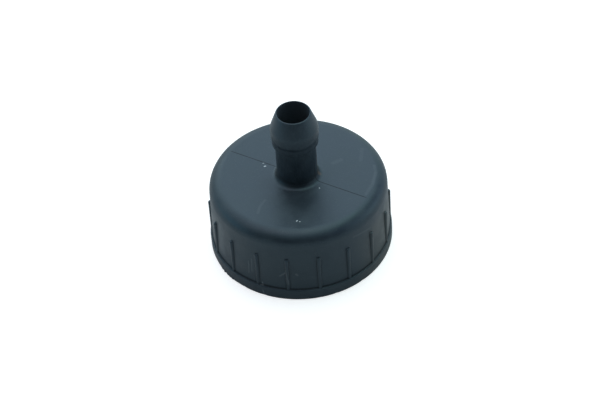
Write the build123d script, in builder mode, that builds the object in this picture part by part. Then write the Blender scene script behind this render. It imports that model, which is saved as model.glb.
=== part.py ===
from build123d import *
import os
from math import cos, radians, sin

# Hydraulic tank cap, in millimetres.
# The origin is the centre of the rim's lower face, and +Z points up along the hose barb.
# One moulding carries the rim, the grip ribs, the roof, the hose barb and the inner thread.
# A flat rubber washer is snapped in under the roof.

# Inner thread, right-handed. Its crest is the fit on the tank's neck, and the walls follow it.
THREAD_CREST_RADIUS = 24.4
THREAD_DEPTH = 1.5
THREAD_PITCH = 4.0
THREAD_START = 5.0  # height of the ridge's middle at its lower end
THREAD_TOP_GAP = 2.3  # from the ridge's middle at its upper end to the cone above it
THREAD_ROOT_WIDTH = 2.7
THREAD_CREST_WIDTH = 1.2
THREAD_RAMP_ANGLE = 24.0  # degrees of turn over which each end of the ridge rises

# Sealing washer
WASHER_THICKNESS = 2.0
WASHER_WIDTH = 6.7
WASHER_SIDE_CLEARANCE = 0.3
WASHER_SNAP_CLEARANCE = 0.1  # play between the washer and the land that holds it in
POCKET_UNDERCUT = 0.6  # how far the washer's pocket is wider than the land

# Inside of the cap
ROOF_THICKNESS = 2.3
PILOT_LENGTH = 1.5  # plain land between the washer's pocket and the thread
MOUTH_CHAMFER = 0.8

# Outside of the cap
CAP_HEIGHT = 26.7
WALL_THICKNESS = 1.93  # of the skirt at its top, outside the thread's root
SKIRT_TAPER = 0.5  # how much the skirt draws in from its foot to the level of the roof
SHOULDER_FILLET = 5.15
RIM_HEIGHT = 3.85
RIM_LEDGE = 0.67  # how far the rim stands out from the foot of the skirt
LEDGE_FILLET = 0.25
RIM_BOTTOM_FILLET = 0.3
RIM_TOP_FILLET = 0.2

# Grip ribs
RIB_COUNT = 18
RIB_WIDTH = 1.35
RIB_SHOULDER_GAP = 4.75  # from a rib's upper end to the start of the shoulder
RIB_RECESS = 0.25  # how far the ribs' crests lie behind the rim's outer face
FIRST_RIB_ANGLE = -0.8  # degrees from +X

# Hose barb, from its bore outwards and from the flat top upwards
BORE_RADIUS = 4.9
BORE_INLET_FILLET = 3.3  # rounds the bore into the roof's underside, so that the wall stays even
NECK_WALL = 1.4
NECK_LENGTH = 13.2
NECK_FOOT_FILLET = 3.0
COLLAR_STANDOUT = 0.85  # how far the collar under the barb's head stands out from the neck
COLLAR_SLOPE = 0.4  # height over which the neck widens to the collar
COLLAR_LENGTH = 1.8
COLLAR_FILLET = 0.25
HEAD_STANDOUT = 0.3  # how far the head stands out from the collar
HEAD_SLOPE = 1.2  # height over which the collar widens to the head
HEAD_FOOT_FILLET = 1.0
HEAD_BLEND_RADIUS = 1.0
HEAD_LAND_LENGTH = 3.1
CONE_BLEND_RADIUS = 5.0
TIP_CONE_LENGTH = 5.6
TIP_WALL = 0.5
TIP_FILLET = 0.6

# Overlap of the ribs and the ridge with the wall that carries them
WALL_OVERLAP = 0.4

# Radii that follow from these
thread_root_radius = THREAD_CREST_RADIUS + THREAD_DEPTH
pocket_radius = THREAD_CREST_RADIUS + POCKET_UNDERCUT
washer_radius = pocket_radius - WASHER_SIDE_CLEARANCE
skirt_top_radius = thread_root_radius + WALL_THICKNESS
skirt_foot_radius = skirt_top_radius + SKIRT_TAPER
rim_radius = skirt_foot_radius + RIM_LEDGE
rib_crest_radius = rim_radius - RIB_RECESS
neck_radius = BORE_RADIUS + NECK_WALL
collar_radius = neck_radius + COLLAR_STANDOUT
head_radius = collar_radius + HEAD_STANDOUT
tip_radius = BORE_RADIUS + TIP_WALL

# Heights that follow from these
roof_underside = CAP_HEIGHT - ROOF_THICKNESS
pocket_bottom = roof_underside - WASHER_THICKNESS - WASHER_SNAP_CLEARANCE
pilot_bottom = pocket_bottom - PILOT_LENGTH
cone_bottom = pilot_bottom - THREAD_DEPTH
thread_end = cone_bottom - THREAD_TOP_GAP
rib_top = CAP_HEIGHT - SHOULDER_FILLET - RIB_SHOULDER_GAP
neck_top = CAP_HEIGHT + NECK_LENGTH
collar_bottom = neck_top + COLLAR_SLOPE
collar_top = collar_bottom + COLLAR_LENGTH
head_bottom = collar_top + HEAD_SLOPE
head_top = head_bottom + HEAD_LAND_LENGTH
total_height = head_top + TIP_CONE_LENGTH


def polar(radius, angle):
    """Point in plan at a radius from the axis and an angle in degrees from +X."""
    return (radius * cos(radians(angle)), radius * sin(radians(angle)))


# One grip rib, on the +X side: a bar with a half-round crest and a blunt upper end. Its
# lower end is buried in the rim.
with BuildPart() as rib:
    rib_root_radius = skirt_top_radius - RIB_WIDTH / 2 - WALL_OVERLAP
    rib_bottom = RIM_HEIGHT / 2
    with BuildSketch(Plane.XY.offset(rib_bottom)):
        with Locations(((rib_root_radius + rib_crest_radius) / 2, 0)):
            SlotOverall(rib_crest_radius - rib_root_radius, RIB_WIDTH)
    extrude(amount=rib_top - rib_bottom)


# Thread ridge: a trapezium swept along a helix that lies on the wall
with BuildPart() as thread_ridge:
    with BuildLine() as thread_helix:
        Helix(
            pitch=THREAD_PITCH,
            height=thread_end - THREAD_START,
            radius=thread_root_radius,
            center=(0, 0, THREAD_START),
        )
    # Its local x points inwards from the wall, and its local y up along the axis
    ridge_plane = Plane(
        origin=thread_helix.line @ 0,
        x_dir=(-1, 0, 0),
        z_dir=-(thread_helix.line % 0),
    )
    crest_allowance = 0.2
    flank_slope = (THREAD_ROOT_WIDTH - THREAD_CREST_WIDTH) / 2 / THREAD_DEPTH
    half_width_in_wall = THREAD_ROOT_WIDTH / 2 + flank_slope * WALL_OVERLAP
    half_width_above_crest = THREAD_CREST_WIDTH / 2 - flank_slope * crest_allowance
    with BuildSketch(ridge_plane):
        with BuildLine():
            Polyline(
                (-WALL_OVERLAP, -half_width_in_wall),
                (THREAD_DEPTH + crest_allowance, -half_width_above_crest),
                (THREAD_DEPTH + crest_allowance, half_width_above_crest),
                (-WALL_OVERLAP, half_width_in_wall),
                close=True,
            )
        make_face()
    sweep(is_frenet=True)

    # The crest is cut back to the cylinder that the tank's neck turns in
    with BuildSketch(Plane.XY):
        Circle(THREAD_CREST_RADIUS)
    extrude(amount=CAP_HEIGHT, mode=Mode.SUBTRACT)

    # Each end slopes from the crest down to the wall
    ramp_inner_radius = THREAD_CREST_RADIUS - crest_allowance
    ramp_outer_radius = thread_root_radius + crest_allowance
    end_margin = 2.0  # degrees past the end of the ridge
    turned_angle = 360.0 * (thread_end - THREAD_START) / THREAD_PITCH
    for end_angle, end_height, inwards in (
        (0.0, THREAD_START, 1),
        (turned_angle, thread_end, -1),
    ):
        with BuildSketch(Plane.XY.offset(end_height - THREAD_PITCH / 2)):
            with BuildLine():
                Polyline(
                    polar(ramp_inner_radius, end_angle - inwards * end_margin),
                    polar(ramp_outer_radius, end_angle - inwards * end_margin),
                    polar(ramp_outer_radius, end_angle + inwards * end_margin),
                    polar(ramp_inner_radius, end_angle + inwards * THREAD_RAMP_ANGLE),
                    close=True,
                )
            make_face()
        extrude(amount=THREAD_PITCH, mode=Mode.SUBTRACT)


with BuildPart() as cap_body:
    # Rim, tapered skirt, round shoulder and flat top
    with BuildSketch(Plane.XZ):
        with BuildLine():
            FilletPolyline(
                (0, 0),
                (rim_radius, 0),
                (rim_radius, RIM_HEIGHT),
                (skirt_foot_radius, RIM_HEIGHT),
                (skirt_top_radius, CAP_HEIGHT),
                (0, CAP_HEIGHT),
                radius=[RIM_BOTTOM_FILLET, RIM_TOP_FILLET, LEDGE_FILLET, SHOULDER_FILLET],
            )
            Line((0, CAP_HEIGHT), (0, 0))
        make_face()
    revolve(axis=Axis.Z)

    with PolarLocations(0, RIB_COUNT, start_angle=FIRST_RIB_ANGLE):
        add(rib.part)

    # Hose barb: a plain neck, a collar, a wider head with a straight land, and a cone to the tip
    with BuildSketch(Plane.XZ):
        with BuildLine():
            FilletPolyline(
                (0, roof_underside),
                (neck_radius, roof_underside),
                (neck_radius, neck_top),
                (collar_radius, collar_bottom),
                (collar_radius, collar_top),
                (head_radius, head_bottom),
                (head_radius, head_top),
                (tip_radius, total_height),
                (0, total_height),
                radius=[
                    0,
                    COLLAR_FILLET,
                    COLLAR_FILLET,
                    HEAD_FOOT_FILLET,
                    HEAD_BLEND_RADIUS,
                    CONE_BLEND_RADIUS,
                    TIP_FILLET,
                ],
            )
            Line((0, total_height), (0, roof_underside))
        make_face()
    revolve(axis=Axis.Z)
    flat_top = cap_body.faces().filter_by(Plane.XY).sort_by(Axis.Z)[-2]
    fillet(flat_top.inner_wires().edges(), radius=NECK_FOOT_FILLET)

    # Mouth, thread root, pilot land and the washer's pocket
    with BuildSketch(Plane.XZ):
        with BuildLine():
            Polyline(
                (0, 0),
                (thread_root_radius + MOUTH_CHAMFER, 0),
                (thread_root_radius, MOUTH_CHAMFER),
                (thread_root_radius, cone_bottom),
                (THREAD_CREST_RADIUS, pilot_bottom),
                (THREAD_CREST_RADIUS, pocket_bottom),
                (pocket_radius, pocket_bottom),
                (pocket_radius, roof_underside),
                (0, roof_underside),
                close=True,
            )
        make_face()
    revolve(axis=Axis.Z, mode=Mode.SUBTRACT)
    add(thread_ridge.part)

    # Bore through the barb into the cap
    with BuildSketch(Plane.XY.offset(roof_underside)):
        Circle(BORE_RADIUS)
    extrude(amount=total_height - roof_underside, mode=Mode.SUBTRACT)
    roof_ceiling = cap_body.faces().filter_by(Plane.XY).sort_by(Axis.Z)[-3]
    fillet(roof_ceiling.inner_wires().edges(), radius=BORE_INLET_FILLET)


# The washer lies flat against the roof, behind the pilot land
with BuildPart() as sealing_washer:
    with BuildSketch(Plane.XY.offset(roof_underside - WASHER_THICKNESS)):
        Circle(washer_radius)
        Circle(washer_radius - WASHER_WIDTH, mode=Mode.SUBTRACT)
    extrude(amount=WASHER_THICKNESS)


cap_body.part.label = "cap_body"
sealing_washer.part.label = "sealing_washer"

os.makedirs("parts", exist_ok=True)
export_step(cap_body.part, "parts/cap_body.step")
export_step(sealing_washer.part, "parts/sealing_washer.step")
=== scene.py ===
# %% [markdown]
# # A moulded tank cap with a hose barb
#
# The real object is a screw cap for a tank's neck. It was moulded in one shot from black
# plastic, with grip ribs round its skirt, a hose barb on its roof and a coarse thread inside.
# A rubber washer lies under the roof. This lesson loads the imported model, models the moulding
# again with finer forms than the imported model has, and gives each piece its finish.

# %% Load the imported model
import bmesh
import bpy
from math import atan2, ceil, cos, degrees, hypot, radians, sin, sqrt, tan
from mathutils import Matrix, Vector


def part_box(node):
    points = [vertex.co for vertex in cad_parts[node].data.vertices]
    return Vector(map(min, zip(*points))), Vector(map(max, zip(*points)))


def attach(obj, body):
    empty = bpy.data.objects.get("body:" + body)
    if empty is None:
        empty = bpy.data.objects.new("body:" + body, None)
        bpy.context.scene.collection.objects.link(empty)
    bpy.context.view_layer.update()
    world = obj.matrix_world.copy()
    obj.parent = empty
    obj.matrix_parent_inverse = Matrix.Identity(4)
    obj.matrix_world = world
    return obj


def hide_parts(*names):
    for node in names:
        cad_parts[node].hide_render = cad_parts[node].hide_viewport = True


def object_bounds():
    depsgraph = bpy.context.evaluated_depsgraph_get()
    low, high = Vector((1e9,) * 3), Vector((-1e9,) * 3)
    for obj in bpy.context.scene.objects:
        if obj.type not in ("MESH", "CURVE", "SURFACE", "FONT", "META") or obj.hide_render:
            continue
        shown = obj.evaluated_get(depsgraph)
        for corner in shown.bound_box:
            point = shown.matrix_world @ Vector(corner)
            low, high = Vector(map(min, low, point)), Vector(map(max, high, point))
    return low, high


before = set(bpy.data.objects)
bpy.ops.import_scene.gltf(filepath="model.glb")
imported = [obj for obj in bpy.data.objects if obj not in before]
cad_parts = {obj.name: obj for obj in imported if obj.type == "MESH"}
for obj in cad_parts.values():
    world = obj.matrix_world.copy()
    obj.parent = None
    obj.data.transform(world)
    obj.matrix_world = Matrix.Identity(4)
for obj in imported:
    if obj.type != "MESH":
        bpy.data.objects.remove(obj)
cad_low, cad_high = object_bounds()
print("nodes:", sorted(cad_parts))

# %% [markdown]
# ## The camera
#
# The photograph looks down on the cap at about 45 degrees through a long lens, and the camera
# was held a few degrees off level. A camera looks along its own -Z, so it is turned to face
# back along its line of sight, and then rolled about that line.

# %% Place the camera
MM = 0.001
CAMERA_AIM = Vector((0.18, -0.45, 15.0)) * MM
CAMERA_DISTANCE = 599.7 * MM
CAMERA_ELEVATION = radians(44.61)
CAMERA_ROLL = radians(-4.12)
CAMERA_LENS = 114.15  # millimetres, on the default sensor 36 mm wide

towards_camera = Vector((0, -cos(CAMERA_ELEVATION), sin(CAMERA_ELEVATION)))
camera = bpy.data.objects.new("camera", bpy.data.cameras.new("camera"))
camera.data.lens = CAMERA_LENS
camera.location = CAMERA_AIM + CAMERA_DISTANCE * towards_camera
facing = (-towards_camera).to_track_quat("-Z", "Y").to_matrix()
camera.rotation_euler = (facing @ Matrix.Rotation(CAMERA_ROLL, 3, "Z")).to_euler()
bpy.context.scene.collection.objects.link(camera)
bpy.context.scene.camera = camera
print("camera at", [round(value, 4) for value in camera.location])

# %% [markdown]
# ## The moulding's half-section
#
# Nearly everything on the cap is turned round one axis, so one closed outline in the XZ plane
# holds the rim, the skirt, the shoulder, the barb, the bore and the inside. It could be drawn as
# a long list of points, but then no fillet could be changed. Instead each corner states its
# radius, height and fillet, and a pen draws them: a straight run is the last vertex extruded,
# and a fillet is that vertex spun about the fillet's centre.

# %% Sizes of the outside and the barb
rim_radius = cad_high.x
total_height = cad_high.z
RIM_HEIGHT = 3.85 * MM
RIM_LEDGE = 0.67 * MM
LEDGE_FILLET = 0.25 * MM
RIM_BOTTOM_FILLET = 0.3 * MM
RIM_TOP_FILLET = 0.2 * MM
SKIRT_TAPER = 0.5 * MM
CAP_HEIGHT = 26.2 * MM
SHOULDER_FILLET = 4.5 * MM
NECK_RADIUS = 6.3 * MM
NECK_FOOT_FILLET = 1.8 * MM
NECK_TOP = 39.9 * MM
COLLAR_RADIUS = 7.15 * MM
COLLAR_BOTTOM = 40.3 * MM
COLLAR_TOP = 42.1 * MM
COLLAR_FILLET = 0.25 * MM
HEAD_RADIUS = 7.45 * MM
HEAD_BOTTOM = 43.3 * MM
HEAD_TOP = 46.4 * MM
HEAD_FOOT_FILLET = 1.0 * MM
HEAD_BLEND_RADIUS = 1.0 * MM
CONE_BLEND_RADIUS = 5.0 * MM
TIP_RADIUS = 5.4 * MM
TIP_FILLET = 0.45 * MM
BORE_RADIUS = 4.9 * MM
MOUTH_RADIUS = 5.07 * MM  # the bore widens a little over the last half millimetre
MOUTH_DEPTH = 0.5 * MM
BORE_INLET_FILLET = 3.3 * MM

skirt_foot_radius = rim_radius - RIM_LEDGE
skirt_top_radius = skirt_foot_radius - SKIRT_TAPER
print("rim radius", round(rim_radius / MM, 2), "mm, height", round(total_height / MM, 2), "mm")

# %% Sizes of the inside
roof_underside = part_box("sealing_washer")[1].z
POCKET_RADIUS = 25.0 * MM
POCKET_BOTTOM = 22.3 * MM
THREAD_CREST_RADIUS = 24.4 * MM
THREAD_ROOT_RADIUS = 25.9 * MM
PILOT_BOTTOM = 20.8 * MM
MOUTH_CHAMFER = 0.8 * MM
thread_depth = THREAD_ROOT_RADIUS - THREAD_CREST_RADIUS
print("roof underside at", round(roof_underside / MM, 2), "mm")

# %% [markdown]
# ## Rows for the grip ribs
#
# The ribs will be raised from the skirt's own surface, so the outline needs rows of vertices
# where a rib ends. Its upper end is blunt with a small rounding, which takes a few rows close
# together. Lower down, two spare rows keep the faces from growing long and thin.

# %% Heights of the rows on the skirt
RIB_TOP = 16.8 * MM
RIB_END_STEP = 0.01 * MM  # the blunt end's wall is this much off level
RIB_END_ROUNDING = 0.35 * MM
RIB_END_ANGLES = (0, 30, 60, 90)
SPARE_ROWS = (8 * MM, 12.5 * MM)


def skirt_radius(height):
    """Radius of the tapered skirt at a height."""
    share = (height - RIM_HEIGHT) / (CAP_HEIGHT - RIM_HEIGHT)
    return skirt_foot_radius - share * SKIRT_TAPER


end_depths = [
    RIB_END_STEP + RIB_END_ROUNDING * (1 - cos(radians(angle))) for angle in RIB_END_ANGLES
]
end_rows = [RIB_TOP - depth for depth in reversed(end_depths)]
skirt_rows = [*SPARE_ROWS, *end_rows, RIB_TOP]
print(len(skirt_rows), "rows on the skirt")

# %% The closed outline, corner by corner
RIM_SIDE_ROWS = (0.7 * MM, 1.3 * MM)
TOP_ROWS = (19 * MM, 15 * MM, 11.5 * MM)

outline = [(THREAD_ROOT_RADIUS + MOUTH_CHAMFER, 0, 0)]
outline += [(rim_radius, 0, RIM_BOTTOM_FILLET)]
outline += [(rim_radius, height, 0) for height in RIM_SIDE_ROWS]
outline += [(rim_radius, RIM_HEIGHT, RIM_TOP_FILLET)]
outline += [(skirt_foot_radius, RIM_HEIGHT, LEDGE_FILLET)]
outline += [(skirt_radius(height), height, 0) for height in skirt_rows]
outline += [(skirt_top_radius, CAP_HEIGHT, SHOULDER_FILLET)]
outline += [(radius, CAP_HEIGHT, 0) for radius in TOP_ROWS]
outline += [
    (NECK_RADIUS, CAP_HEIGHT, NECK_FOOT_FILLET),
    (NECK_RADIUS, NECK_TOP, COLLAR_FILLET),
    (COLLAR_RADIUS, COLLAR_BOTTOM, COLLAR_FILLET),
    (COLLAR_RADIUS, COLLAR_TOP, HEAD_FOOT_FILLET),
    (HEAD_RADIUS, HEAD_BOTTOM, HEAD_BLEND_RADIUS),
    (HEAD_RADIUS, HEAD_TOP, CONE_BLEND_RADIUS),
    (TIP_RADIUS, total_height, TIP_FILLET),
    (MOUTH_RADIUS, total_height, 0),
    (BORE_RADIUS, total_height - MOUTH_DEPTH, 0),
    (BORE_RADIUS, roof_underside, BORE_INLET_FILLET),
    (POCKET_RADIUS, roof_underside, 0),
    (POCKET_RADIUS, POCKET_BOTTOM, 0),
    (THREAD_CREST_RADIUS, POCKET_BOTTOM, 0),
    (THREAD_CREST_RADIUS, PILOT_BOTTOM, 0),
    (THREAD_ROOT_RADIUS, PILOT_BOTTOM - thread_depth, 0),
    (THREAD_ROOT_RADIUS, MOUTH_CHAMFER, 0),
]
print(len(outline), "corners")

# %% The pen that draws it
ARC_STEP = 0.3 * MM
FEWEST_ARC_STEPS = 4
MOST_ARC_STEPS = 20
WELD = 0.001 * MM


def line_to(bm, pen, place):
    """Extrudes the pen's vertex to a place and returns the new vertex."""
    drawn = bmesh.ops.extrude_vert_indiv(bm, verts=[pen])["verts"][0]
    drawn.co = place
    return drawn


def draw_outline(bm, corners):
    """Draws a closed outline of (radius, height, fillet) corners in the XZ plane."""
    places = [Vector((radius, 0, height)) for radius, height, fillet in corners]
    pen = bm.verts.new(places[0])
    for index, (radius, height, fillet) in enumerate(corners[1:], start=1):
        place = places[index]
        if fillet == 0:
            pen = line_to(bm, pen, place)
            continue
        inwards = (place - places[index - 1]).normalized()
        onwards = (places[index + 1] - place).normalized()
        turn = inwards.angle(onwards)
        axis = inwards.cross(onwards).normalized()
        start = place - inwards * fillet * tan(turn / 2)
        centre = start + axis.cross(inwards) * fillet
        pen = line_to(bm, pen, start)
        steps = min(max(ceil(turn * fillet / ARC_STEP), FEWEST_ARC_STEPS), MOST_ARC_STEPS)
        spun = bmesh.ops.spin(bm, geom=[pen], cent=centre, axis=axis, angle=turn, steps=steps)
        pen = [item for item in spun["geom_last"] if isinstance(item, bmesh.types.BMVert)][0]
    line_to(bm, pen, places[0])
    bmesh.ops.remove_doubles(bm, verts=bm.verts[:], dist=WELD)


shell = bmesh.new()
draw_outline(shell, outline)
print(len(shell.verts), "vertices in the outline")

# %% [markdown]
# ## One eighteenth of the cap, with its rib
#
# There are 18 ribs, 20 degrees apart. Spinning the outline all the way round first would leave
# no columns of vertices just where a rib's narrow section needs them. So the outline is spun
# through one wedge of 20 degrees, in uneven steps: wide ones between the ribs, and narrow ones
# across the rib, closer together towards its sides, as a half-round section needs.

# %% Columns of the wedge
RIB_COUNT = 18
RIB_WIDTH = 1.35 * MM
RIB_RECESS = 0.25 * MM  # how far the crest lies behind the rim
RIB_FOOT_SPREAD = 0.06 * MM
RIB_SECTION_ANGLES = (-90, -60, -30, 0, 30, 60, 90)
GAP_STEPS = 6

wedge_angle = radians(360 / RIB_COUNT)
rib_crest_radius = rim_radius - RIB_RECESS
rib_centre_radius = rib_crest_radius - RIB_WIDTH / 2
rib_offsets = [RIB_WIDTH / 2 * sin(radians(angle)) for angle in RIB_SECTION_ANGLES]
foot_offset = RIB_WIDTH / 2 + RIB_FOOT_SPREAD
rib_column_angles = [
    offset / rib_centre_radius for offset in [-foot_offset, *rib_offsets, foot_offset]
]
gap_angle = (wedge_angle / 2 - rib_column_angles[-1]) / GAP_STEPS
gap_angles = [gap_angle * step for step in range(GAP_STEPS)]
wedge_columns = (
    [-wedge_angle / 2 + angle for angle in gap_angles]
    + rib_column_angles
    + [wedge_angle / 2 - angle for angle in reversed(gap_angles)]
)
print(len(wedge_columns), "columns in a wedge")

# %% Spin the wedge
UP = Vector((0, 0, 1))
CENTRE = Vector((0, 0, 0))


def only(kind, items):
    """The items of one bmesh kind."""
    return [item for item in items if isinstance(item, kind)]


bmesh.ops.rotate(
    shell, verts=shell.verts[:], cent=CENTRE, matrix=Matrix.Rotation(wedge_columns[0], 3, "Z")
)
newest = shell.verts[:] + shell.edges[:]
columns = {wedge_columns[0]: shell.verts[:]}
for before, angle in zip(wedge_columns, wedge_columns[1:]):
    spun = bmesh.ops.spin(shell, geom=newest, cent=CENTRE, axis=UP, angle=angle - before, steps=1)
    newest = spun["geom_last"]
    columns[angle] = only(bmesh.types.BMVert, newest)
print(len(shell.faces), "faces in the wedge")

# %% [markdown]
# ## Raise the rib
#
# A rib could be a bar joined on with a boolean, which leaves a ragged seam on the skirt. Here
# the skirt's own vertices are moved outwards to the rib's surface where that lies further out
# than the skirt, so the rib, the skirt and the rim stay one skin.

# %% Move the rib's columns out
LEDGE_MARGIN = 0.001 * MM


def rib_reach(offset, depth):
    """Radius of the rib's surface at an offset from its middle and a depth below its top."""
    short = RIB_END_ROUNDING - min(max(depth, 0), RIB_END_ROUNDING)
    inset = RIB_END_ROUNDING - sqrt(RIB_END_ROUNDING**2 - short**2)
    half_width = RIB_WIDTH / 2 - inset
    if abs(offset) > half_width + LEDGE_MARGIN:
        return 0
    return rib_centre_radius + sqrt(max(half_width**2 - offset**2, 0))


raised = 0
for angle, offset in zip(rib_column_angles[1:-1], rib_offsets):
    for vert in columns[angle]:
        radius = hypot(vert.co.x, vert.co.y)
        on_rib = RIM_HEIGHT - LEDGE_MARGIN < vert.co.z < RIB_TOP - RIB_END_STEP / 2
        if not on_rib or radius < skirt_top_radius:
            continue
        reach = rib_reach(offset, RIB_TOP - RIB_END_STEP - vert.co.z)
        if reach > radius:
            bmesh.ops.scale(shell, vec=(reach / radius, reach / radius, 1), verts=[vert])
            raised += 1
print(raised, "vertices raised for the rib")

# %% [markdown]
# ## Close the ring
#
# The wedge is copied round the axis and its edges are welded. Spun shapes can come out inside
# out, so the normals are worked out again once the surface is closed.

# %% Repeat the wedge
FIRST_RIB_ANGLE = radians(-0.8)

bmesh.ops.spin(
    shell,
    geom=shell.verts[:] + shell.edges[:] + shell.faces[:],
    cent=CENTRE,
    axis=UP,
    angle=wedge_angle * (RIB_COUNT - 1),
    steps=RIB_COUNT - 1,
    use_duplicate=True,
)
bmesh.ops.rotate(
    shell, verts=shell.verts[:], cent=CENTRE, matrix=Matrix.Rotation(FIRST_RIB_ANGLE, 3, "Z")
)
bmesh.ops.remove_doubles(shell, verts=shell.verts[:], dist=WELD)
bmesh.ops.recalc_face_normals(shell, faces=shell.faces[:])
open_edges = sum(1 for edge in shell.edges if not edge.is_manifold)
print(len(shell.faces), "faces,", open_edges, "open edges, volume", shell.calc_volume() / MM**3)

# %% [markdown]
# ## Flash and nibbles at the rim
#
# The two halves of the mould met at the rim's lower edge. At the left in the photograph a
# ragged bit of flash still stands out there, and in other places the edge was nibbled when the
# flash was trimmed off. Each spot moves the edge by a fraction of a millimetre, most in the
# middle of the spot and at the very bottom.

# %% Shape the lower edge
EDGE_SPOTS = (  # angle from +X in degrees, half width in degrees, how far the edge moves out
    (-152.6, 1.5, 0.28 * MM),
    (-149.6, 1.3, 0.42 * MM),
    (-146.8, 1.2, 0.30 * MM),
    (-144.3, 1.3, 0.46 * MM),
    (-141.4, 1.4, 0.36 * MM),
    (-138.8, 1.2, 0.22 * MM),
    (-131.0, 1.4, -0.12 * MM),
    (-117.0, 1.8, -0.10 * MM),
    (-71.0, 1.6, -0.10 * MM),
    (-52.0, 1.4, -0.14 * MM),
    (38.0, 1.6, -0.16 * MM),
    (121.0, 1.5, -0.14 * MM),
)
EDGE_HEIGHT = 0.9 * MM

moved = 0
for vert in shell.verts:
    radius = hypot(vert.co.x, vert.co.y)
    if vert.co.z > EDGE_HEIGHT or radius < rim_radius - RIM_BOTTOM_FILLET - WELD:
        continue
    angle = degrees(atan2(vert.co.y, vert.co.x))
    low_share = 1 - vert.co.z / EDGE_HEIGHT
    for middle, half_width, reach in EDGE_SPOTS:
        near = max(1 - abs(angle - middle) / half_width, 0)
        push = reach * near * low_share
        vert.co.x *= 1 + push / radius
        vert.co.y *= 1 + push / radius
        vert.co.z += max(-push, 0) / 2
        moved += near > 0
print(moved, "vertices moved at the lower edge")

# %% [markdown]
# ## The inner thread
#
# The ridge is a trapezium carried along a helix. Blender's spin does that when it is given a
# step along the axis as well as an angle. At both ends the crest slopes down into the wall, so
# that the neck's own thread finds its way in. The ridge crosses the wall's columns of vertices
# at a slant, so it is a separate closed shape that a boolean joins to the wall.

# %% Spin the ridge along its helix
THREAD_PITCH = 4.0 * MM
THREAD_TURNS = 3
THREAD_START = 5.0 * MM
THREAD_ROOT_WIDTH = 2.7 * MM
THREAD_CREST_WIDTH = 1.2 * MM
THREAD_RAMP_ANGLE = radians(24)
FULL_TURN = radians(360)
STEPS_PER_TURN = 90
WALL_OVERLAP = 0.3 * MM

ridge = bmesh.new()
flank_slope = (THREAD_ROOT_WIDTH - THREAD_CREST_WIDTH) / 2 / thread_depth
buried_width = THREAD_ROOT_WIDTH + 2 * flank_slope * WALL_OVERLAP
buried_radius = THREAD_ROOT_RADIUS + WALL_OVERLAP
section = [
    ridge.verts.new((buried_radius, 0, THREAD_START - buried_width / 2)),
    ridge.verts.new((THREAD_CREST_RADIUS, 0, THREAD_START - THREAD_CREST_WIDTH / 2)),
    ridge.verts.new((THREAD_CREST_RADIUS, 0, THREAD_START + THREAD_CREST_WIDTH / 2)),
    ridge.verts.new((buried_radius, 0, THREAD_START + buried_width / 2)),
]
start_face = ridge.faces.new(section)
thread_steps = STEPS_PER_TURN * THREAD_TURNS
spun = bmesh.ops.spin(
    ridge,
    geom=section + start_face.edges[:] + [start_face],
    cent=CENTRE,
    axis=UP,
    dvec=UP * THREAD_PITCH / STEPS_PER_TURN,
    angle=FULL_TURN * THREAD_TURNS,
    steps=thread_steps,
)
bmesh.ops.recalc_face_normals(ridge, faces=ridge.faces[:])
print(len(ridge.faces), "faces in the ridge, volume", ridge.calc_volume() / MM**3)

# %% Slope its ends
for vert in ridge.verts:
    radius = hypot(vert.co.x, vert.co.y)
    if radius > THREAD_CREST_RADIUS + WELD:
        continue
    angle = atan2(vert.co.y, vert.co.x) % FULL_TURN
    turned_by_height = (vert.co.z - THREAD_START) / THREAD_PITCH * FULL_TURN
    turned = angle + FULL_TURN * round((turned_by_height - angle) / FULL_TURN)
    from_end = min(turned, FULL_TURN * THREAD_TURNS - turned)
    sink = max(1 - from_end / THREAD_RAMP_ANGLE, 0) * (thread_depth + WALL_OVERLAP / 2)
    vert.co.x *= (radius + sink) / radius
    vert.co.y *= (radius + sink) / radius
print("ridge ends sloped over", round(degrees(THREAD_RAMP_ANGLE)), "degrees")

# %% Join the ridge to the moulding
SHARP_ANGLE = radians(38)


def mesh_object(name, bm):
    """Turns a bmesh into an object in the scene and frees the bmesh."""
    mesh = bpy.data.meshes.new(name)
    bm.to_mesh(mesh)
    bm.free()
    made = bpy.data.objects.new(name, mesh)
    bpy.context.scene.collection.objects.link(made)
    return made


cap_shell = mesh_object("cap_shell", shell)
thread_ridge = mesh_object("thread_ridge", ridge)
join = cap_shell.modifiers.new("join", "BOOLEAN")
join.operation = "UNION"
join.solver = "MANIFOLD"
join.object = thread_ridge
joined = bpy.data.meshes.new_from_object(
    cap_shell.evaluated_get(bpy.context.evaluated_depsgraph_get())
)
cap_shell.modifiers.clear()
cap_shell.data = joined
bpy.data.objects.remove(thread_ridge)
joined.polygons.foreach_set("use_smooth", [True] * len(joined.polygons))
joined.set_sharp_from_angle(angle=SHARP_ANGLE)
print("moulding:", len(joined.polygons), "faces")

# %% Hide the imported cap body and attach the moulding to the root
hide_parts("cap_body")
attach(cap_shell, "root")
sealing_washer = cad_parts["sealing_washer"]

# %% [markdown]
# ## Small helpers for materials
#
# Each finish below is a node tree. These helpers add one kind of node each and hand back its
# output, so that a finish reads as a few sentences. Every pattern reads Object coordinates,
# which are metres here.

# %% Node helpers
STROKE_CORE = 0.3  # the share of a stroke's reach that is at full strength


def new_material(name):
    """A material with an empty tree, its shader and its object coordinates."""
    material = bpy.data.materials.new(name)
    material.use_nodes = True
    tree = material.node_tree
    shader = tree.nodes["Principled BSDF"]
    coordinates = tree.nodes.new("ShaderNodeTexCoord").outputs["Object"]
    return material, tree, shader, coordinates


def noise(tree, vector, size, detail=2.0):
    """Noise with features of about the given size."""
    texture = tree.nodes.new("ShaderNodeTexNoise")
    texture.inputs["Scale"].default_value = 1 / size
    texture.inputs["Detail"].default_value = detail
    tree.links.new(vector, texture.inputs["Vector"])
    return texture.outputs["Fac"]


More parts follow.
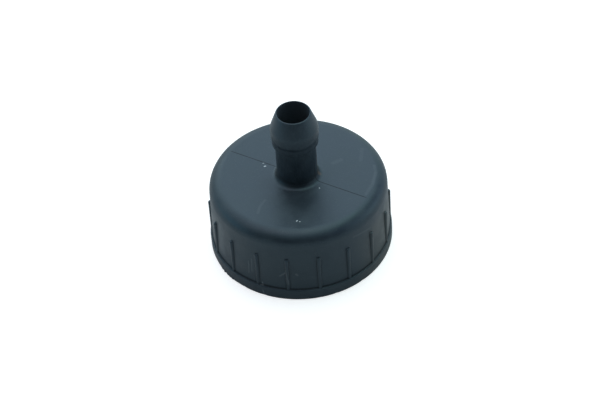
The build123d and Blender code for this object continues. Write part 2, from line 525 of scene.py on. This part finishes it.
def spread(tree, value, low, high, to_low=0.0, to_high=1.0):
    """Maps a value's range onto another, with soft ends."""
    mapped = tree.nodes.new("ShaderNodeMapRange")
    mapped.interpolation_type = "SMOOTHSTEP"
    mapped.inputs["From Min"].default_value = low
    mapped.inputs["From Max"].default_value = high
    mapped.inputs["To Min"].default_value = to_low
    mapped.inputs["To Max"].default_value = to_high
    tree.links.new(value, mapped.inputs["Value"])
    return mapped.outputs["Result"]


def blend(tree, factor, below, above):
    """Mixes two colours, each a socket or a plain colour."""
    mix = tree.nodes.new("ShaderNodeMix")
    mix.data_type = "RGBA"
    tree.links.new(factor, mix.inputs["Factor"])
    for name, colour in (("A", below), ("B", above)):
        socket = [item for item in mix.inputs if item.name == name and item.type == "RGBA"][0]
        if isinstance(colour, bpy.types.NodeSocket):
            tree.links.new(colour, socket)
        else:
            socket.default_value = (*colour, 1)
    return [item for item in mix.outputs if item.type == "RGBA"][0]


def maths(tree, operation, first, second=0):
    """One arithmetic step on sockets or plain numbers."""
    step = tree.nodes.new("ShaderNodeMath")
    step.operation = operation
    for socket, value in zip(step.inputs, (first, second)):
        if isinstance(value, bpy.types.NodeSocket):
            tree.links.new(value, socket)
        else:
            socket.default_value = value
    return step.outputs["Value"]


def product(tree, *masks):
    """Masks multiplied together, so that the result holds where every one of them holds."""
    result = masks[0]
    for mask in masks[1:]:
        result = maths(tree, "MULTIPLY", result, mask)
    return result


def vectors(tree, operation, first, second):
    """One step on vectors, each a socket or plain numbers."""
    step = tree.nodes.new("ShaderNodeVectorMath")
    step.operation = operation
    for socket, value in zip(step.inputs, (first, second)):
        if isinstance(value, bpy.types.NodeSocket):
            tree.links.new(value, socket)
        else:
            socket.default_value = value
    return step.outputs


def stroke(tree, coordinates, start, end, reach):
    """A mask that is 1 along the line between two places and fades out over the reach."""
    offset = vectors(tree, "SUBTRACT", coordinates, start)["Vector"]
    span = end - start
    along = vectors(tree, "DOT_PRODUCT", offset, span.normalized())["Value"]
    along = maths(tree, "MINIMUM", maths(tree, "MAXIMUM", along), span.length)
    nearest = vectors(tree, "MULTIPLY", along, span.normalized())["Vector"]
    distance = vectors(tree, "DISTANCE", offset, nearest)["Value"]
    return spread(tree, distance, reach * STROKE_CORE, reach, 1, 0)


print("helpers ready")

# %% [markdown]
# ## Satin black plastic
#
# The moulding is nearly black, with a faint blue cast in its soft shine. The mould's surface
# left a fine satin grain, and handling left patches that shine a little more or less. Most of
# the light comes off this plastic as shine, so what should look dark, such as painted shade in a
# corner, needs less shine and not only a darker colour.
#
# Dirt, wear and painted shade and light could be drawn by hand on a picture. Here each kind is
# a mask instead, a value from 0 to 1 that is worked out from the height, the distance to the axis
# and the turn round it, so it stays in its corner when a size changes. The right side of the
# skirt gets a painted warm reflection, and the wall of the bore is painted paler than the
# outside, as painted light.

# %% Where a place lies on the cap
ROOF_SOFTNESS = 1 * MM

plastic, tree, shader, coordinates = new_material("satin_black_plastic")
axes = tree.nodes.new("ShaderNodeSeparateXYZ")
tree.links.new(coordinates, axes.inputs[0])
height = axes.outputs["Z"]
plan = vectors(tree, "MULTIPLY", coordinates, (1, 1, 0))["Vector"]
from_axis = vectors(tree, "LENGTH", plan, CENTRE)["Value"]
above_roof = spread(tree, height, CAP_HEIGHT - ROOF_SOFTNESS, CAP_HEIGHT)
in_bore = spread(tree, from_axis, BORE_RADIUS, MOUTH_RADIUS, 1, 0)
print("places known")

# %% Patches, dust and a painted warm reflection
PATCH_SIZE = 5 * MM
PATCH_LEVELS = (0.3, 0.7)
DUST_SIZE = 0.45 * MM
DUST_DETAIL = 4
DUST_LEVELS = (0.55, 0.78)
WARM_REFLECTION_SIDE = (14 * MM, 26 * MM)  # the X over which the painted warm reflection grows on the skirt
WARM_REFLECTION_TOP = (16 * MM, 22 * MM)

patches = spread(tree, noise(tree, coordinates, PATCH_SIZE), *PATCH_LEVELS)
dust = spread(tree, noise(tree, coordinates, DUST_SIZE, DUST_DETAIL), *DUST_LEVELS)
# A painted warm reflection on the right side of the skirt, fading out above it
right_warm_reflection = product(
    tree,
    spread(tree, axes.outputs["X"], *WARM_REFLECTION_SIDE),
    spread(tree, height, *WARM_REFLECTION_TOP, 1, 0),
)
print("patches and dust made")

# %% [markdown]
# ## Painted shade and the parting line
#
# Painted shade darkens the corners where shade falls: round the neck's foot, beside the ribs
# and on the ledge of the rim. The barb could only leave the mould if the mould opened sideways,
# so a parting line crosses the flat top through the axis and climbs the barb. It has next to no
# height, and the shade of its tiny step is painted as a dark hair, so it is part of this finish.
# A raised strip in the mesh would be the other way, and would need a column of vertices just
# along the line.

# %% Painted shade round the neck's foot and along the parting line
FOOT_SHADE = 0.5
FOOT_SHADE_REACH = (NECK_RADIUS + 0.4 * MM, NECK_RADIUS + 1.2 * MM)
FOOT_SHADE_TOP = CAP_HEIGHT + 5 * MM
PARTING_ANGLE = radians(-31.6)
SEAM_SIDE = (0.05 * MM, 0.16 * MM)  # distances from the line over which it fades
SEAM_END = (23 * MM, 25 * MM)
SEAM_FADE = (NECK_TOP - 9 * MM, NECK_TOP)
SEAM_ON_HEAD = 0.12

# Painted shade in the corner round the neck's foot
neck_foot_shade = product(
    tree,
    spread(tree, from_axis, *FOOT_SHADE_REACH, FOOT_SHADE, 0),
    spread(tree, height, CAP_HEIGHT, FOOT_SHADE_TOP, 1, 0),
    above_roof,
)
across = Vector((cos(PARTING_ANGLE), sin(PARTING_ANGLE), 0)).cross(UP)
from_seam = maths(tree, "ABSOLUTE", vectors(tree, "DOT_PRODUCT", coordinates, across)["Value"])
# A dark hair of painted shade along the parting line's tiny step
seam_shade = product(
    tree,
    spread(tree, from_seam, *SEAM_SIDE, 1, 0),
    spread(tree, from_axis, *SEAM_END, 1, 0),
    above_roof,
    spread(tree, height, *SEAM_FADE, 1, SEAM_ON_HEAD),
)
print("parting line at", round(degrees(PARTING_ANGLE), 1), "degrees")

# %% Painted shade in the corners of the skirt
RIB_SHADE = 0.25
RIB_SHADE_RISE = (RIB_WIDTH * 0.4, RIB_WIDTH * 0.55)  # distances from the rib's middle
RIB_SHADE_FALL = (RIB_WIDTH * 0.55, RIB_WIDTH * 0.9)
RIB_SHADE_TOP = (RIB_TOP - 1 * MM, RIB_TOP)
LEDGE_SHADE = 0.6
LEDGE_SHADE_REACH = (rim_radius - 0.6 * MM, rim_radius - 0.3 * MM)
LEDGE_SHADE_TOP = (RIM_HEIGHT + 0.3 * MM, RIM_HEIGHT + 0.9 * MM)
SKIRT_INSIDE = (THREAD_ROOT_RADIUS + 1 * MM, THREAD_ROOT_RADIUS + 1.5 * MM)
SKIRT_BOTTOM = (RIM_HEIGHT - 0.3 * MM, RIM_HEIGHT)

# The turn round the axis is folded into one wedge, so one rule serves all the ribs
turn = maths(tree, "ARCTAN2", axes.outputs["Y"], axes.outputs["X"])
turn = maths(tree, "SUBTRACT", turn, FIRST_RIB_ANGLE - wedge_angle / 2)
turn = maths(tree, "FLOORED_MODULO", turn, wedge_angle)
turn = maths(tree, "ABSOLUTE", maths(tree, "SUBTRACT", turn, wedge_angle / 2))
from_rib = maths(tree, "MULTIPLY", turn, from_axis)
# Painted shade beside each rib's foot
rib_foot_shade = product(
    tree,
    spread(tree, from_rib, *RIB_SHADE_RISE, 0, RIB_SHADE),
    spread(tree, from_rib, *RIB_SHADE_FALL, 1, 0),
    spread(tree, height, *RIB_SHADE_TOP, 1, 0),
)
# Painted shade in the corner where the skirt meets the rim's ledge
ledge_corner_shade = product(
    tree,
    spread(tree, from_axis, *LEDGE_SHADE_REACH, LEDGE_SHADE, 0),
    spread(tree, height, *LEDGE_SHADE_TOP, 1, 0),
)
# The painted corner shade, kept off the inside and off the rim's face
corners = product(
    tree,
    maths(tree, "MAXIMUM", rib_foot_shade, ledge_corner_shade),
    spread(tree, from_axis, *SKIRT_INSIDE),
    spread(tree, height, *SKIRT_BOTTOM),
)
# All the painted shade together: round the neck's foot, along the parting line, beside the ribs
# and on the ledge
painted_shade = maths(tree, "MAXIMUM", maths(tree, "MAXIMUM", neck_foot_shade, seam_shade), corners)
print("corners made")

# %% [markdown]
# ## Specks, scuffs and painted highlights
#
# The cap has been handled: bright specks on the flat top, faint scuffs on the top and the
# skirt, and short scratches by the ribs. Each is a stroke between two places on the surface.
# A few strokes are painted highlights instead: an arc where the roof turns into the shoulder on
# the right, and a broad pale patch at the left of the skirt. On plastic this dark a pale colour
# shows at once, so most strengths are only a few hundredths. A painted warm reflection down the
# right of the neck is one more stroke, in a colour of its own. The places were worked out by a
# separate program from points picked by eye in the reference photograph.

# %% Specks, scuffs and painted highlights
MARKS_AND_HIGHLIGHTS = (  # the two ends in millimetres, reach in millimetres, strength
    ((-10.2, 4.5, 26.2), (-9.8, 4.6, 26.2), 0.29, 0.75),
    ((-10.6, 5.9, 26.2), (-10.3, 6.0, 26.2), 0.25, 0.35),
    ((-1.3, -20.6, 26.2), (-1.1, -20.4, 26.2), 0.26, 0.675),
    ((-0.4, -20.9, 26.2), (-0.3, -20.9, 26.2), 0.25, 0.5),
    ((6.4, -6.8, 26.2), (6.5, -7.1, 26.2), 0.22, 0.5),
    ((-12.9, -15.9, 26.2), (-12.2, -13.1, 26.2), 0.6, 0.022),
    ((-12.2, -13.1, 26.2), (-10.5, -10.5, 26.2), 0.6, 0.022),
    # A painted highlight along the start of the shoulder on the right
    ((24.1, 1.4, 26.0), (24.3, -1.7, 26.0), 0.75, 0.02),
    ((24.3, -1.7, 26.0), (22.9, -6.8, 26.1), 0.75, 0.026),
    ((22.9, -6.8, 26.1), (20.6, -11.0, 26.1), 0.75, 0.02),
    ((11.3, 3.8, 26.2), (13.9, 4.9, 26.2), 1.05, 0.016),
    ((20.8, 9.2, 26.2), (20.1, 4.2, 26.2), 0.9, 0.015),
    ((15.8, -23.1, 20.1), (18.7, -20.8, 19.6), 0.52, 0.028),
    ((18.7, -20.8, 19.6), (21.0, -18.5, 18.8), 0.52, 0.024),
    # A broad painted highlight on the left of the skirt
    ((-24.9, -12.7, 18.0), (-25.3, -12.9, 8.0), 2.6, 0.03),
    ((-17.0, -22.4, 12.2), (-17.2, -22.4, 7.1), 0.33, 0.045),
    ((-16.0, -23.1, 13.7), (-16.2, -23.1, 8.3), 0.3, 0.043),
    ((-13.2, -25.0, 5.0), (-13.2, -25.8, 1.4), 0.33, 0.108),
    ((-14.3, -24.5, 4.0), (-13.0, -25.3, 4.0), 0.33, 0.072),
    ((-7.6, -27.2, 9.5), (-5.8, -27.7, 11.2), 0.45, 0.058),
    ((-5.7, -27.8, 12.4), (-5.2, -28.2, 6.7), 0.45, 0.043),
    ((-2.6, -28.1, 10.6), (-2.3, -28.1, 10.2), 0.6, 0.05),
)
MARK_AND_HIGHLIGHT_COLOUR = (0.62, 0.68, 0.7)
marks_and_highlights = 0.0
for low_end, high_end, reach, strength in MARKS_AND_HIGHLIGHTS:
    mask = stroke(tree, coordinates, Vector(low_end) * MM, Vector(high_end) * MM, reach * MM)
    marks_and_highlights = maths(tree, "MAXIMUM", maths(tree, "MULTIPLY", mask, strength), marks_and_highlights)
print(len(MARKS_AND_HIGHLIGHTS), "marks")

# %% Put the plastic together
PLASTIC_DARK = (0.0133, 0.0195, 0.0258)
PLASTIC_PALE = (0.0195, 0.0273, 0.0344)
DUST_COLOUR = (0.045, 0.052, 0.056)
DUST_SHARE = 0.5
WARM_REFLECTION_COLOUR = (0.062, 0.056, 0.040)
WARM_REFLECTION_SHARE = 0.45
BORE_PAINTED_LIGHT_COLOUR = (0.034, 0.042, 0.050)
PAINTED_SHADE_COLOUR = (0.009, 0.009, 0.009)
NECK_REFLECTION_COLOUR = (0.10, 0.07, 0.045)
NECK_REFLECTION_ENDS = (Vector((6.9, -0.9, 26.8)) * MM, Vector((6.2, -0.6, 38.5)) * MM)
NECK_REFLECTION_REACH = 1.1 * MM
NECK_REFLECTION_SHARE = 0.6
PLASTIC_ROUGHNESS = (0.38, 0.46)
PLASTIC_SHINE = 0.5
SHADED_SHINE = 0.12
SHINE_TINT = (0.62, 0.86, 1.0)
GRAIN_SIZE = 0.16 * MM
GRAIN_STRENGTH = 0.25
GRAIN_DEPTH = 0.01 * MM

colour = blend(tree, patches, PLASTIC_DARK, PLASTIC_PALE)
colour = blend(tree, product(tree, dust, DUST_SHARE), colour, DUST_COLOUR)
# The painted warm reflection on the right of the skirt
colour = blend(tree, product(tree, right_warm_reflection, WARM_REFLECTION_SHARE), colour, WARM_REFLECTION_COLOUR)
# The bore's wall is painted paler than the outside: painted light
colour = blend(tree, in_bore, colour, BORE_PAINTED_LIGHT_COLOUR)
# Painted shade darkens the colour
colour = blend(tree, painted_shade, colour, PAINTED_SHADE_COLOUR)
# A painted warm reflection down the right of the neck
neck_reflection = stroke(tree, coordinates, *NECK_REFLECTION_ENDS, NECK_REFLECTION_REACH)
colour = blend(tree, product(tree, neck_reflection, NECK_REFLECTION_SHARE), colour, NECK_REFLECTION_COLOUR)
# Pale specks and scuffs, and the painted highlights among them
colour = blend(tree, marks_and_highlights, colour, MARK_AND_HIGHLIGHT_COLOUR)
roughness = spread(tree, patches, 0, 1, *PLASTIC_ROUGHNESS)
# Less shine where shade is painted
shine = spread(tree, painted_shade, 0, 1, PLASTIC_SHINE, SHADED_SHINE)
grain = tree.nodes.new("ShaderNodeBump")
grain.inputs["Strength"].default_value = GRAIN_STRENGTH
grain.inputs["Distance"].default_value = GRAIN_DEPTH
tree.links.new(noise(tree, coordinates, GRAIN_SIZE), grain.inputs["Height"])
tree.links.new(colour, shader.inputs["Base Color"])
tree.links.new(roughness, shader.inputs["Roughness"])
tree.links.new(shine, shader.inputs["Specular IOR Level"])
shader.inputs["Specular Tint"].default_value = (*SHINE_TINT, 1)
tree.links.new(grain.outputs["Normal"], shader.inputs["Normal"])
cap_shell.data.materials.clear()
cap_shell.data.materials.append(plastic)
print("plastic made")

# %% [markdown]
# ## Black rubber
#
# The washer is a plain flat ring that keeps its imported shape. Rubber is duller than the
# plastic, with small patches that are a shade paler.

# %% The rubber washer
RUBBER_COLOUR = (0.018, 0.018, 0.019)
PALE_RUBBER_COLOUR = (0.026, 0.026, 0.027)
RUBBER_ROUGHNESS = (0.55, 0.7)
RUBBER_PATCH_SIZE = 1.5 * MM

rubber, tree, shader, coordinates = new_material("washer_rubber_black")
shade = spread(tree, noise(tree, coordinates, RUBBER_PATCH_SIZE), *PATCH_LEVELS)
colour = blend(tree, shade, RUBBER_COLOUR, PALE_RUBBER_COLOUR)
tree.links.new(colour, shader.inputs["Base Color"])
tree.links.new(spread(tree, shade, 0, 1, *RUBBER_ROUGHNESS), shader.inputs["Roughness"])
sealing_washer.data.materials.clear()
sealing_washer.data.materials.append(rubber)
print("rubber made")

# %% [markdown]
# ## Floor and light
#
# The cap stands on a white floor. Area lamps would leave hard-edged reflections on the satin
# roof, so all the light comes from the world: a sum of broad soft lobes, most of them behind
# the cap and at its sides. The roof mirrors those, while the front of the skirt mostly takes
# the light that the floor sends up. Only the camera sees the world, and the floor's own glow,
# as plain white.
#
# The lobes' colours weren't chosen by hand. A separate least-squares program fitted them to
# small patches of the reference photograph, so one lobe alone can have a tint that no lamp
# has, and only their sum means something. Lamps set by hand would be easier to change.

# %% The floor
FLOOR_HALF_SIZE = 3.0
FLOOR_COLOUR = (0.63, 0.63, 0.63)
FLOOR_ROUGHNESS = 0.9
FLOOR_GLOW = 0.6

floor_bm = bmesh.new()
bmesh.ops.create_grid(floor_bm, x_segments=1, y_segments=1, size=FLOOR_HALF_SIZE)
floor = mesh_object("floor", floor_bm)

white, tree, shader, coordinates = new_material("white_floor")
shader.inputs["Base Color"].default_value = (*FLOOR_COLOUR, 1)
shader.inputs["Roughness"].default_value = FLOOR_ROUGHNESS
shader.inputs["Emission Color"].default_value = (1, 1, 1, 1)
path = tree.nodes.new("ShaderNodeLightPath")
glow = product(tree, path.outputs["Is Camera Ray"], FLOOR_GLOW)
tree.links.new(glow, shader.inputs["Emission Strength"])
floor.data.materials.append(white)
print("floor made")

# %% The world
LOBE_SHARPNESS = 12
LOBES = (  # azimuth from +X and elevation in degrees, colour of the light from there
    (0, 8, (1.51, 1.86, 1.86)),
    (30, 8, (0.00, 0.00, 0.35)),
    (60, 8, (0.71, 1.06, 0.93)),
    (150, 8, (0.18, 0.23, 0.26)),
    (-30, 30, (0.28, 0.31, 0.53)),
    (90, 30, (1.10, 1.23, 1.45)),
    (120, 30, (1.52, 1.82, 1.88)),
    (60, 52, (0.95, 0.98, 1.35)),
    (150, 52, (0.25, 0.42, 0.57)),
    (180, 52, (0.90, 0.82, 0.78)),
    (-90, 74, (0.25, 0.78, 0.87)),
    (30, 74, (1.36, 2.44, 1.85)),
    (0, 90, (1.47, 0.36, 0.60)),
    (180, 8, (0.55, 1.11, 1.42)),
)

world = bpy.data.worlds.new("studio")
world.use_nodes = True
bpy.context.scene.world = world
tree = world.node_tree
direction = tree.nodes.new("ShaderNodeTexCoord").outputs["Generated"]
studio_light = (0, 0, 0)
for azimuth, elevation, colour in LOBES:
    level = cos(radians(elevation))
    middle = (
        level * cos(radians(azimuth)),
        level * sin(radians(azimuth)),
        sin(radians(elevation)),
    )
    towards = maths(tree, "MAXIMUM", vectors(tree, "DOT_PRODUCT", direction, middle)["Value"])
    strength = maths(tree, "POWER", towards, LOBE_SHARPNESS)
    coloured = vectors(tree, "MULTIPLY", strength, colour)["Vector"]
    studio_light = vectors(tree, "ADD", coloured, studio_light)["Vector"]
path = tree.nodes.new("ShaderNodeLightPath")
seen = blend(tree, path.outputs["Is Camera Ray"], studio_light, (1, 1, 1))
tree.links.new(seen, tree.nodes["Background"].inputs["Color"])
print(len(LOBES), "soft lights in the world")

bpy.context.scene.view_settings.view_transform = "Standard"
